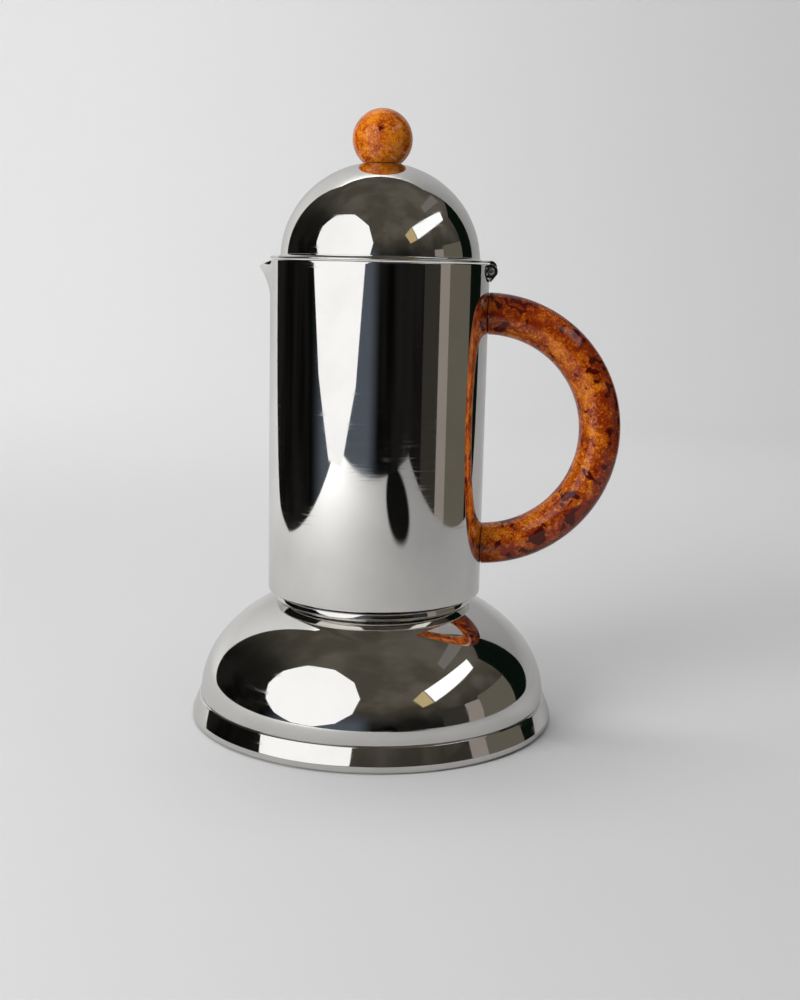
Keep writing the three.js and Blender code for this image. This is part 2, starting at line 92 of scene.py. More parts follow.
GRIP_MIDDLE, GRIP_REACH = (GRIP_TOP + GRIP_BOTTOM) / 2, (GRIP_TOP - GRIP_BOTTOM) / 2
GRIP_R = mm_box("handle_grip")[1].y

GAP = 0.3  # between pieces that are fixed to each other
WALL = 1.0  # sheet of the jug and the lid
BRIM = 3.7
BRIM_THICK = 0.9
LID_R = JUG_R - BRIM  # the lid's dome, inside its flat brim
LID_RISE = LID_TOP - BRIM_LOW + 0.02
DOME_RISE = 44.9
DOME_WALL = 1.5
PAN_SHEET = 1.4
NECK_WALL = 3.4
RING_R = COLLAR_R - 1.4  # the dark step between collar and jug
COLLAR_TOP = ring_low.z - GAP
SPOUT_H = 13.8
SPOUT_DIP = 2.5
SPOUT_HALF = math.radians(18)


def dome_z(r):
    """The height of the boiler's dome at a radius."""
    return DOME_BASE + DOME_RISE * math.sqrt(1 - (r / DOME_R) ** 2)


def lid_z(r):
    """The height of the lid's dome at a radius."""
    return BRIM_LOW + LID_RISE * math.sqrt(1 - (r / LID_R) ** 2)


# ---------- outlines and meshes ----------


def rounded(corners, closed=True, steps=6):
    """Points of an outline whose corners, (r, z, fillet), are rounded where a fillet is given."""
    points = []
    count = len(corners)
    for i, corner in enumerate(corners):
        r, z = corner[:2]
        fillet = corner[2] if len(corner) > 2 else 0
        if fillet == 0 or (not closed and i in (0, count - 1)):
            points.append((r, z))
            continue
        here = Vector((r, z))
        back = (Vector(corners[i - 1][:2]) - here).normalized()
        ahead = (Vector(corners[(i + 1) % count][:2]) - here).normalized()
        half = back.angle(ahead) / 2
        reach = fillet / math.tan(half)
        centre = here + (back + ahead).normalized() * (fillet / math.sin(half))
        start = here + back * reach - centre
        end = here + ahead * reach - centre
        turn = start.angle_signed(end)
        for s in range(steps + 1):
            arm = start.copy()
            arm.rotate(Matrix.Rotation(-turn * s / steps, 2))
            points.append(tuple(centre + arm))
    return points


def arch(radius, rise, base, r_from, r_to, steps=48):
    """Points of an ellipse about (0, base), between two radii."""
    start, end = math.acos(r_from / radius), math.acos(r_to / radius)
    angles = [start + (end - start) * i / steps for i in range(steps + 1)]
    return [(radius * math.cos(a), base + rise * math.sin(a)) for a in angles]


def smooth(mesh):
    """Smooth shading with crisp edges."""
    mesh.polygons.foreach_set("use_smooth", [True] * len(mesh.polygons))
    mesh.set_sharp_from_angle(angle=SHARP)


def mesh_object(name, vertices, faces):
    """A mesh object from points in millimetres, with its faces turned outwards."""
    mesh = bpy.data.meshes.new(name)
    mesh.from_pydata([tuple(c * MM for c in v) for v in vertices], [], faces)
    work = bmesh.new()
    work.from_mesh(mesh)
    bmesh.ops.remove_doubles(work, verts=work.verts, dist=1e-7)
    bmesh.ops.recalc_face_normals(work, faces=work.faces)
    work.to_mesh(mesh)
    work.free()
    smooth(mesh)
    obj = bpy.data.objects.new(name, mesh)
    bpy.context.scene.collection.objects.link(obj)
    return obj


def turned(name, outline, sides=AROUND, shape=None):
    """A body of revolution about Z. An outline that leaves the axis free closes on itself.
    shape moves each point: it takes and gives back (x, y, z)."""
    count = len(outline)
    touches = outline[0][0] < 1e-6
    vertices, faces = [], []
    for i in range(sides):
        angle = 2 * math.pi * i / sides
        for r, z in outline:
            point = (r * math.cos(angle), r * math.sin(angle), z)
            vertices.append(shape(*point) if shape else point)
    for i in range(sides):
        here, there = i * count, (i + 1) % sides * count
        for j in range(count - 1 if touches else count):
            k = (j + 1) % count
            corners = [here + j, here + k, there + k, there + j]
            if outline[j][0] < 1e-6:
                corners = [here + j, here + k, there + k]
            elif outline[k][0] < 1e-6:
                corners = [here + j, here + k, there + j]
            faces.append(corners)
    return mesh_object(name, vertices, faces)


def swept(name, rings):
    """A closed skin over rings of points, each as long as the next, with a flat face at each end."""
    vertices = [point for ring in rings for point in ring]
    count = len(rings[0])
    faces = [list(range(count)), list(range(len(vertices) - count, len(vertices)))]
    for i in range(len(rings) - 1):
        for j in range(count):
            k = (j + 1) % count
            faces.append([i * count + j, i * count + k, (i + 1) * count + k, (i + 1) * count + j])
    return mesh_object(name, vertices, faces)


def extruded(name, outline, y_from, y_to):
    """An outline in the XZ plane, extruded along Y."""
    return swept(name, [[(x, y, z) for x, z in outline] for y in (y_from, y_to)])


def add_bevel(obj, width):
    """Breaks the sharp edges by a width in millimetres."""
    modifier = obj.modifiers.new("edges", "BEVEL")
    modifier.width = width * MM
    modifier.segments = 3
    modifier.limit_method = "ANGLE"
    modifier.angle_limit = SHARP
    modifier.harden_normals = True


def cut(obj, *tools):
    """Takes the tools' space out of obj, for good, and removes the tools."""
    for tool in tools:
        modifier = obj.modifiers.new("cut", "BOOLEAN")
        modifier.operation = "DIFFERENCE"
        modifier.solver = "EXACT"
        modifier.object = tool
    evaluated = obj.evaluated_get(bpy.context.evaluated_depsgraph_get())
    mesh = bpy.data.meshes.new_from_object(evaluated)
    obj.modifiers.clear()
    obj.data = mesh
    smooth(mesh)
    for tool in tools:
        bpy.data.objects.remove(tool)
    return obj


def block(x, y, z):
    """A box tool between pairs of values, in millimetres."""
    outline = [(x[0], z[0]), (x[1], z[0]), (x[1], z[1]), (x[0], z[1])]
    return extruded("tool", outline, *y)


def bar(radius, x, z):
    """A round tool along X at y 0."""
    ring = [2 * math.pi * i / SMALL for i in range(SMALL)]
    return swept("tool", [[(a, radius * math.cos(t), z + radius * math.sin(t)) for t in ring] for a in x])


def circle(x, z, radius, start=0, end=360, steps=32):
    """Points of an arc between two angles in degrees."""
    angles = [math.radians(start + (end - start) * i / steps) for i in range(steps + 1)]
    return [(x + radius * math.cos(a), z + radius * math.sin(a)) for a in angles]


# ---------- materials ----------


class Shader:
    """A node material in the making. add() makes a node, and sets or wires its inputs by name."""

    def __init__(self, name):
        self.material = bpy.data.materials.new(name)
        self.material.use_nodes = True
        self.nodes = self.material.node_tree.nodes
        self.links = self.material.node_tree.links
        self.nodes.clear()

    def add(self, kind, inputs=None, **settings):
        node = self.nodes.new("ShaderNode" + kind)
        for key, value in settings.items():
            setattr(node, key, value)
        for key, value in (inputs or {}).items():
            self.wire(node.inputs[key], value)
        return node

    def axis(self, vector, index):
        """One part of a vector: 0, 1 or 2 for X, Y or Z."""
        return self.add("SeparateXYZ", {0: vector}).outputs[index]

    def length(self, vector):
        return self.add("VectorMath", {0: vector}, operation="LENGTH").outputs["Value"]

    def away_from(self, point):
        """The vector to here from a point in millimetres."""
        values = {0: self.place(), 1: [c * MM for c in point]}
        return self.add("VectorMath", values, operation="SUBTRACT").outputs[0]

    def wire(self, socket, value):
        if isinstance(value, bpy.types.NodeSocket):
            self.links.new(value, socket)
        else:
            socket.default_value = value

    def math(self, operation, *values):
        node = self.add("Math", dict(enumerate(values)), operation=operation)
        return node.outputs[0]

    def scaled(self, vector, scale):
        node = self.add("VectorMath", {0: vector, 1: scale}, operation="MULTIPLY")
        return node.outputs[0]

    def noise(self, vector, scale, detail=4.0, distortion=0.0):
        values = {"Vector": vector, "Scale": scale, "Detail": detail, "Distortion": distortion}
        return self.add("TexNoise", values).outputs["Fac"]

    def ramp(self, value, low, high, to_low=0.0, to_high=1.0):
        """value, stretched from low..high to to_low..to_high with a soft step."""
        values = {"Value": value, "From Min": low, "From Max": high, "To Min": to_low, "To Max": to_high}
        return self.add("MapRange", values, interpolation_type="SMOOTHSTEP").outputs["Result"]

    def mix(self, factor, first, second):
        node = self.add("Mix", {0: factor, 6: first, 7: second}, data_type="RGBA")
        return node.outputs[2]

    def bump(self, height, distance, normal=None):
        values = {"Height": height, "Distance": distance, "Strength": 1.0}
        node = self.add("Bump", values)
        if normal is not None:
            self.wire(node.inputs["Normal"], normal)
        return node.outputs["Normal"]

    def finish(self, **inputs):
        shader = self.add("BsdfPrincipled")
        for key, value in inputs.items():
            self.wire(shader.inputs[key.replace("_", " ")], value)
        self.add("OutputMaterial", {"Surface": shader.outputs[0]})
        return self.material

    def place(self):
        return self.add("TexCoord").outputs["Object"]

    def rings(self):
        """A place for texture that runs round the axis: long round it, fine across it."""
        around, across = 3.0, 1500.0
        place = self.place()
        split = self.add("SeparateXYZ", {0: place})
        flat = self.add("CombineXYZ", {0: split.outputs[0], 1: split.outputs[1]}).outputs[0]
        radius = self.length(flat)
        direction = self.add("VectorMath", {0: flat}, operation="NORMALIZE").outputs[0]
        turn = self.add("SeparateXYZ", {0: self.scaled(direction, (around, around, 0))})
        step = self.math("MULTIPLY", self.math("ADD", radius, split.outputs[2]), across)
        return self.add("CombineXYZ", {0: turn.outputs[0], 1: turn.outputs[1], 2: step}).outputs[0]


def steel(name, color, rough, haze):
    """Steel: fine lines round the axis and a few stray scratches in the polish, smudges that dull
    it a little, and a slight ripple of the sheet."""
    s = Shader(name)
    place = s.place()
    lines = s.ramp(s.noise(s.rings(), 1.0, 6.0), 0.48, 0.85)
    aslant = {"Vector": place, "Rotation": (0.5, 0.8, 0.3), "Scale": (2600, 50, 70)}
    stray_place = s.add("Mapping", aslant).outputs[0]
    stray = s.ramp(s.noise(stray_place, 1.0, 2.0), 0.70, 0.78, 0.0, 0.6)
    patch = s.ramp(s.noise(place, 30.0, 2.0), 0.35, 0.7)
    marks = s.math("MULTIPLY", s.math("MAXIMUM", lines, stray), patch)
    smudge = s.ramp(s.noise(place, 38.0, 3.0, 0.6), 0.45, 0.75, 0.0, rough * 0.9)
    roughness = s.math("ADD", s.math("MULTIPLY", marks, haze), s.math("ADD", smudge, rough))
    wave = s.bump(s.noise(place, 17.0, 1.0), 0.00006)
    normal = s.bump(marks, -0.0000008, wave)
    tint = s.mix(s.ramp(s.noise(place, 55.0, 4.0), 0.35, 0.7), color, [c * 0.94 for c in color[:3]] + [1])
    return s.finish(Base_Color=tint, Metallic=1.0, Roughness=roughness, Normal=normal)


def resin(name, flake, clot, depth, centre=(0, 0, 0), outside=None):
    """Cast tortoiseshell: amber flakes with red-brown seams and dark clots, under a clear gloss.
    flake is the flakes' size in millimetres. clot is how scarce the clots are, and a larger depth
    makes the ground darker. outside is the pair of distances from centre, in millimetres, between
    which it all darkens."""
    s = Shader(name)
    place = s.place()
    cloud = s.noise(place, 110.0, 3.0, 0.8)
    drift = s.add("TexNoise", {"Vector": place, "Scale": 500.0, "Detail": 3.0}).outputs["Color"]
    drift = s.scaled(drift, [1.6 * flake * MM] * 3)
    warped = s.add("VectorMath", {0: drift, 1: place}, operation="ADD").outputs[0]
    flakes = {"Vector": warped, "Scale": 1 / (flake * MM)}
    cells = s.add("TexVoronoi", flakes, feature="F1")
    seams = s.add("TexVoronoi", flakes, feature="DISTANCE_TO_EDGE")
    tone = s.math("MULTIPLY", s.axis(cells.outputs["Color"], 0), 0.42)
    tone = s.math("ADD", tone, s.ramp(cloud, 0.3, 0.7, depth - 0.25, depth + 0.25))
    tone = s.math("ADD", tone, s.ramp(seams.outputs["Distance"], 0.0, 0.22, 0.22, 0.0))
    tone = s.math("ADD", tone, s.ramp(s.noise(place, 1500.0, 4.0, 0.5), 0.35, 0.65, -0.12, 0.12))
    clots = s.math("ADD", s.noise(place, 160.0, 8.0, 1.0), s.math("MULTIPLY", cloud, 0.3))
    if outside:
        reach = s.length(s.away_from(centre))
        low, high = (d * MM for d in outside)
        clots = s.math("ADD", clots, s.ramp(reach, low, high, 0.0, 0.075))
        tone = s.math("ADD", tone, s.ramp(reach, low, high, 0.0, 0.32))
    color = s.mix(s.ramp(tone, 0.0, 0.35), (0.64, 0.20, 0.012, 1), (0.43, 0.088, 0.005, 1))
    color = s.mix(s.ramp(tone, 0.32, 0.72), color, (0.20, 0.020, 0.003, 1))
    color = s.mix(s.ramp(clots, clot, clot + 0.06), color, (0.06, 0.0045, 0.002, 1))
    normal = s.bump(s.noise(place, 60.0, 2.0), 0.00004)
    return s.finish(
        Base_Color=color,
        Roughness=s.ramp(cloud, 0.3, 0.7, 0.3, 0.45),
        Specular_IOR_Level=0.0,
        Normal=normal,
        Coat_Weight=1.0,
        Coat_Roughness=0.04,
        Coat_IOR=1.45,
    )


def soft(name, color, rough, scale):
    """A plain moulded or pressed material with a fine mottle."""
    s = Shader(name)
    place = s.place()
    spots = s.noise(place, scale, 5.0)
    tint = s.mix(s.ramp(spots, 0.3, 0.7), color, [c * 0.82 for c in color[:3]] + [1])
    normal = s.bump(spots, 0.00002)
    return s.finish(Base_Color=tint, Roughness=s.ramp(spots, 0.3, 0.7, rough, rough + 0.12), Normal=normal)


POLISHED = steel("mirror_steel", (0.82, 0.805, 0.775, 1), 0.03, 0.16)
SATIN = steel("satin_steel", (0.62, 0.62, 0.61, 1), 0.24, 0.25)
BRASS = steel("turned_brass", (0.72, 0.51, 0.24, 1), 0.18, 0.25)
GRIP_CENTRE = (JUG_R, 0, GRIP_MIDDLE)
GRIP_OUTSIDE = (GRIP_REACH - 4, GRIP_REACH + GRIP_R)
GRIP_RESIN = resin("grip_resin", 1.2, 0.75, 0.08, GRIP_CENTRE, GRIP_OUTSIDE)
KNOB_RESIN = resin("knob_resin", 0.7, 0.84, -0.06)
RUBBER = soft("gasket_rubber", (0.78, 0.75, 0.68, 1), 0.6, 900.0)
FIBRE = soft("fibre_washer", (0.36, 0.07, 0.045, 1), 0.7, 1500.0)


def piece(obj, body, material, slot, *nodes):
    """Gives a finished piece its material and its body, and hides the CAD nodes that it stands for. slot is
    not used.
    """
    obj.data.materials.clear()
    obj.data.materials.append(material)
    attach(obj, body)
    if nodes:
        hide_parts(*nodes)
    return obj


# ---------- boiler ----------


def make_boiler():
    """The thermal disc, the pressed bottom, the dome and the neck with its thread."""
    disc = rounded(
        [
            (0, disc_low.z),
            (disc_high.x, disc_low.z, 0.6),
            (disc_high.x, disc_high.z, 0.2),
            (0, disc_high.z),
        ],
        closed=False,
    )
    piece(turned("thermal_disc_turned", disc), "boiler", SATIN, "inner_steel", "thermal_disc")

    inside = DOME_R - DOME_WALL
    pan_floor = disc_high.z + GAP
    pan = rounded(
        [
            (0, pan_floor),
            (DOME_R - 1.0, pan_floor, 1.0),
            (FOOT_R - 2.4, pan_low.z, 0.3),
            (FOOT_R - 0.5, pan_low.z, 0.4),
            (FOOT_R, pan_low.z + 0.8, 0.5),
            (FOOT_R, 2.9, 0.7),
            (DOME_R + 0.75, FOOT_TOP - 0.4, 0.5),
            (DOME_R + 0.3, FOOT_TOP - 0.02, 0.2),
            (inside, FOOT_TOP),
            (inside, pan_floor + PAN_SHEET),
            (0, pan_floor + PAN_SHEET),
        ],
        closed=False,
        steps=10,
    )
    piece(turned("base_pan_pressed", pan), "boiler", POLISHED, "polished_steel", "base_pan")

    skirt = FOOT_TOP + 0.05  # the dome comes down to its seam with the foot
    dome = [(DOME_R, skirt)] + arch(DOME_R, DOME_RISE, DOME_BASE, DOME_R, RING_R + 0.4, 96)
    dome += [(RING_R + 0.1, dome_z(RING_R + 0.1) - 0.15), (RING_R, dome_z(RING_R) - 0.4)]
    dome += arch(inside, DOME_RISE - DOME_WALL, DOME_BASE, RING_R, inside, 48) + [(inside, skirt)]
    piece(turned("boiler_dome_spun", dome), "boiler", POLISHED, "polished_steel", "boiler_dome")

    bore = BASKET_R - NECK_WALL
    neck = rounded(
        [
            (bore, neck_low.z, 0.3),
            (RING_R - GAP, neck_low.z, 0.3),
            (RING_R - GAP, dome_z(RING_R) + 0.1),
            (COLLAR_R, dome_z(COLLAR_R) + 0.1, 0.2),
            (COLLAR_R - 0.45, COLLAR_TOP, 0.5),
            (BASKET_R, COLLAR_TOP, 0.3),
            (BASKET_R, NECK_TOP, 0.4),
            (bore, NECK_TOP, 0.4),
        ]
    )
    piece(turned("boiler_neck_turned", neck), "boiler", POLISHED, "polished_steel", "boiler_neck")
    helix = thread("neck_thread", BASKET_R - 0.1, COLLAR_TOP + 3.6, pitch=4.0, ridge=0.95)
    piece(helix, "boiler", POLISHED, "polished_steel")


def thread(name, radius, start, pitch, ridge):
    """A round ridge wound once about the axis, tapering away at both ends."""
    steps = 128
    rings = []
    for i in range(steps + 1):
        share = i / steps
        angle = 2 * math.pi * share
        size = ridge * min(1, 12 * share + 0.15, 12 * (1 - share) + 0.15)
        ring = circle(radius, start + pitch * share, size, steps=12)[:-1]
        rings.append([(r * math.cos(angle), r * math.sin(angle), z) for r, z in ring])
    return swept(name, rings)


make_boiler()


# ---------- safety valve, made along Z and then leaned out from the dome ----------

valve_joint = next(j for j in frame["joints"] if j["name"] == "valve_pin_slide")
VALVE_AXIS = Vector(valve_joint["axis"]).normalized()
VALVE_HEIGHT = 20.4  # up the dome from its base


def valve_matrix():
    """From the valve's own frame, with the dome's skin at z 0, to the pot's, in metres."""
    r = DOME_R * math.sqrt(1 - (VALVE_HEIGHT / DOME_RISE) ** 2)
    turn = Vector((0, 0, 1)).rotation_difference(VALVE_AXIS).to_matrix().to_4x4()
    return Matrix.Translation(Vector((0, r, DOME_BASE + VALVE_HEIGHT)) * MM) @ turn


def hexagon(name, across, low, high, chamfer):
    """A hexagonal block about Z, measured across its flats."""
    corner = across / 2 / math.cos(math.pi / 6)
    ring = [math.pi / 3 * i + math.pi / 6 for i in range(6)]
    corners = [(corner * math.cos(a), corner * math.sin(a)) for a in ring]
    obj = swept(name, [[(x, y, z) for x, y in corners] for z in (low, high)])
    add_bevel(obj, chamfer)
    return obj


def make_valve():
    """The safety valve's washer, body and sliding pin."""
    place = valve_matrix()
    washer = rounded([(4.4, 0.3, 0.1), (7.5, 0.3, 0.3), (7.5, 1.3, 0.3), (4.4, 1.3, 0.1)])
    washer = turned("valve_washer_fibre", washer, SMALL)
    hexed = hexagon("valve_body_hex", across=13, low=1.6, high=6.6, chamfer=0.45)
    barrel = [
        (2.3, 5.5),
        (4.6, 5.5),
        (4.6, 7.2, 0.1),
        (4.2, 7.5, 0.1),
        (4.2, 7.9, 0.1),
        (4.6, 8.2, 0.1),
        (4.6, 9.6, 0.5),
        (1.4, 9.6, 0.2),
        (1.4, 8.4),
        (2.3, 8.4),
    ]
    barrel = turned("valve_body_barrel", rounded(barrel), SMALL)
    pin = [(0, -6.7), (2.0, -6.7, 0.2), (2.0, -5, 0.2), (1.1, -5), (1.1, 11.6, 0.5), (0, 11.6)]
    pin = turned("valve_pin_turned", rounded(pin, closed=False), SMALL)
    for obj, body, material, slot, nodes in (
        (washer, "boiler", FIBRE, "fibre", ["valve_washer"]),
        (hexed, "boiler", BRASS, "brass", ["valve_body"]),
        (barrel, "boiler", BRASS, "brass", []),
        (pin, "relief_pin", BRASS, "brass", ["valve_pin"]),
    ):
        obj.matrix_world = place
        piece(obj, body, material, slot, *nodes)


make_valve()


# ---------- jug ----------


def spout(x, y, z):
    """Pinches the wall out to the pouring lip, deepest at the rim, with a crease and a dip at its tip."""
    off = abs(math.atan2(y, -x))
    if off > SPOUT_HALF:
        return x, y, z
    up = min(1, max(0, (z - RIM + SPOUT_H) / SPOUT_H))
    amount = (1 - off / SPOUT_HALF) ** 1.4 * up**1.3
    r = math.hypot(x, y)
    stretch = (r + SPOUT_REACH * amount) / r
    return x * stretch, y * stretch, z - SPOUT_DIP * amount * up


def levels(low, high, count):
    """Heights at even steps."""
    return [low + (high - low) * i / count for i in range(count + 1)]


def make_jug():
    """The jug's shell, floor and threaded ring, and the coffee column with its cap."""
    inner = JUG_R - WALL
    mouth = RING_R + GAP
    heights = levels(JUG_FOOT + 3, RIM - SPOUT_H - 1, 8) + levels(RIM - SPOUT_H, RIM - 0.9, 24)
    foot = rounded(
        [(mouth, JUG_FOOT), (JUG_R, JUG_FOOT, 0.45), (JUG_R, heights[0])], closed=False, steps=12
    )[1:-1]
    inner_foot = rounded(
        [(inner, heights[0]), (inner, JUG_FOOT + WALL, 0.3), (mouth, JUG_FOOT + WALL)], closed=False
    )[1:]
    rim = [(JUG_R, RIM - 2), (JUG_R, RIM, 0.45), (inner, RIM, 0.45), (inner, RIM - 2)]
    rim = rounded(rim, closed=False)
    outline = [(mouth, JUG_FOOT)] + foot + [(JUG_R, z) for z in heights] + rim[1:-1]
    outline += [(inner, z) for z in reversed(heights)] + inner_foot
    shell = turned("jug_shell_drawn", outline, AROUND * 2, spout)
    half = bracket_high.y + 1.4
    notch_floor = HINGE.z - (bracket_high.x - HINGE.x) - GAP
    through = (inner - 2, JUG_R + 2)
    notch = block((JUG_R - 4, JUG_R + 4), (-half, half), (notch_floor, RIM + 5))
    cut(shell, notch, bar(2.0, through, GRIP_TOP), bar(2.0, through, GRIP_BOTTOM))
    piece(shell, "jug", POLISHED, "polished_steel", "jug_shell")

    hole, edge = column_high.x - 3.2, floor_high.x + 0.25
    floor = rounded(
        [
            (hole, floor_low.z, 0.2),
            (edge, floor_low.z, 0.2),
            (edge, floor_high.z, 0.05),
            (hole, floor_high.z, 0.2),
        ]
    )
    piece(turned("jug_floor_disc", floor), "jug", SATIN, "inner_steel", "jug_floor")

    bore = RING_R - 2.1
    shoulder = JUG_FOOT + WALL + GAP
    ring = rounded(
        [
            (bore, ring_low.z, 0.2),
            (RING_R, ring_low.z, 0.25),
            (RING_R, shoulder, 0.2),
            (ring_high.x, shoulder, 0.3),
            (ring_high.x, ring_high.z, 0.3),
            (bore, ring_high.z, 0.3),
        ]
    )
    piece(turned("jug_ring_turned", ring), "jug", POLISHED, "polished_steel", "jug_ring")

    column = rounded(
        [
            (column_high.x - 4.6, column_low.z, 0.1),
            (column_high.x - 3.5, column_low.z, 0.2),
            (column_high.x - 3.5, floor_high.z + 0.1),
            (column_high.x, floor_high.z + 0.1, 0.3),
            (column_high.x, floor_high.z + 1.0, 0.4),
            (column_high.x - 3.4, floor_high.z + 1.9, 1.2),
            (5.5, column_high.z, 0.2),
            (4.4, column_high.z, 0.2),
            (column_high.x - 4.6, floor_high.z + 1.9),
        ],
        steps=8,
    )
    column = turned("coffee_column_spun", column, 128)
    slot_top = column_high.z - 2
    cut(column, block((-8, 8), (-1.5, 1.5), (slot_top - 6, slot_top)))
    piece(column, "jug", POLISHED, "polished_steel", "coffee_column")

    cap = [(0, cap_low.z), (4.1, cap_low.z), (4.1, column_high.z + 0.2)]
    cap += [(cap_high.x - 0.3, column_high.z + 0.2)]
    rise = cap_high.z - column_high.z - 0.5
    cap += [
        (cap_high.x * math.cos(a), column_high.z + 0.5 + rise * math.sin(a))
        for a in (math.pi / 2 * i / 24 for i in range(25))
    ]
    cap[-1] = (0, cap_high.z)
    piece(turned("column_cap_spun", cap, 128), "jug", POLISHED, "polished_steel", "column_cap")


make_jug()


# ---------- handle ----------


def make_handle():
    """The half ring, its straight ends hollowed to fit the wall, and its two screws and washers."""
    sides, steps = 96, 160
    turns = [2 * math.pi * i / sides for i in range(sides)]

    def end_ring(sign, radius, out):
        """A ring that follows the jug's wall, out millimetres away from it."""
        ring = []
        for t in turns:
            y, up = radius * math.sin(t), radius * math.cos(t)
            ring.append((math.sqrt((JUG_R + out) ** 2 - y**2), y, GRIP_MIDDLE + sign * (GRIP_REACH + up)))
        return ring

    def round_ring(angle):
        """A ring of the half circle, at an angle up from level."""
        ring = []
        for t in turns:
            arm = GRIP_REACH + GRIP_R * math.cos(t)
            x, z = JUG_R + arm * math.cos(angle), GRIP_MIDDLE + arm * math.sin(angle)
            ring.append((x, GRIP_R * math.sin(t), z))
        return ring

    edge = [(GRIP_R - 0.5, 0.12), (GRIP_R - 0.2, 0.18), (GRIP_R - 0.04, 0.36), (GRIP_R, 0.62)]
    rings = [end_ring(1, radius, out) for radius, out in edge]
    span = math.radians(90 - 3.2)  # the ends are straight for the first few degrees
    rings += [round_ring(span * (1 - 2 * i / steps)) for i in range(steps + 1)]
    rings += [end_ring(-1, radius, out) for radius, out in reversed(edge)]
    piece(swept("handle_grip_cast", rings), "jug", GRIP_RESIN, "resin", "handle_grip")

    for end, height in (("upper", GRIP_TOP), ("lower", GRIP_BOTTOM)):
        low, high = mm_box("handle_screw_" + end)
        face = low.x + 1.8
        screw = [(0, low.x), (2.0, low.x, 0.4), (3.2, low.x + 1.0, 0.5), (3.2, face, 0.1)]
        screw += [(1.7, face), (1.7, high.x), (0, high.x)]
        screw = turned("handle_screw_" + end + "_turned", rounded(screw, closed=False), SMALL)
        lay_along_x(screw, height)
        piece(screw, "jug", POLISHED, "polished_steel", "handle_screw_" + end)
        low, high = mm_box("handle_washer_" + end)
        washer = [(2.0, low.x, 0.1), (high.y, low.x, 0.25), (high.y, high.x, 0.1), (2.0, high.x, 0.1)]
        washer = turned("handle_washer_" + end + "_moulded", rounded(washer), SMALL)
        lay_along_x(washer, height)
        piece(washer, "jug", RUBBER, "rubber", "handle_washer_" + end)


def lay_along_x(obj, z):
    """Turns a piece made along Z to lie along X at a height in millimetres."""
    obj.data.transform(Matrix.Translation((0, 0, z * MM)) @ Matrix.Rotation(math.pi / 2, 4, "Y"))


make_handle()


# ---------- lid hinge ----------


def make_hinge():
    """Rolled knuckles: the jug's pair with its pointed tail, the lid's one between them, the pin."""
    x, z = HINGE.x, HINGE.z
    knuckle = bracket_high.x - x
    wall = JUG_R + 0.12

    def rolled(name, outline, y, bevel):
        """A knuckle with the pin's hole through it and its edges broken."""
        obj = extruded(name, outline, *y)
        cut(obj, extruded("tool", circle(x, z, 1.35)[:-1], y[0] - 1, y[1] + 1))
        add_bevel(obj, bevel)
        return obj

    bracket = [(wall, bracket_low.z), (x + knuckle * 0.93, z - 1.2)]
    bracket += circle(x, z, knuckle, -15, 262, 40) + [(wall, z - knuckle)]
    half = leaf_high.y + 0.35
    front = rolled("hinge_knuckle_front", bracket, (bracket_low.y, -half), 0.18)
    piece(front, "jug", POLISHED, "polished_steel", "hinge_bracket")
    rear = rolled("hinge_knuckle_rear", bracket, (half, bracket_high.y), 0.18)
    piece(rear, "jug", POLISHED, "polished_steel")
    strip = z - knuckle - 0.6
    tail = [(wall, bracket_low.z), (wall + (strip - bracket_low.z) * 0.6, strip), (wall, strip)]
    tail = extruded("hinge_tail", tail, -half, half)
    add_bevel(tail, 0.1)
    piece(tail, "jug", POLISHED, "polished_steel")

    top, back = leaf_high.z, JUG_R - 0.05
    leaf = [(x + knuckle, z), (x + knuckle, top, 2.3), (back, top), (back, z + knuckle)]
    leaf = rounded(leaf, closed=False)
    leaf += circle(x, z, knuckle, 95, 360, 40)[1:-1]
    leaf = rolled("lid_leaf_rolled", leaf, (leaf_low.y, leaf_high.y), 0.15)
    piece(leaf, "lid", POLISHED, "polished_steel", "lid_leaf")

    end = mm_box("hinge_pin")[1].y
    pin = [(0, -end), (0.9, -end, 0.3), (1.5, -end + 0.55, 0.25), (1.1, -end + 0.9)]
    pin += [(1.1, end - 0.9), (1.5, end - 0.55, 0.25), (0.9, end, 0.3), (0, end)]
    pin = turned("hinge_pin_peened", rounded(pin, closed=False), SMALL)
    turn = Matrix.Rotation(math.pi / 2, 4, "X")
    pin.data.transform(Matrix.Translation((x * MM, 0, z * MM)) @ turn)
    piece(pin, "jug", SATIN, "polished_steel", "hinge_pin")


make_hinge()


# ---------- lid ----------


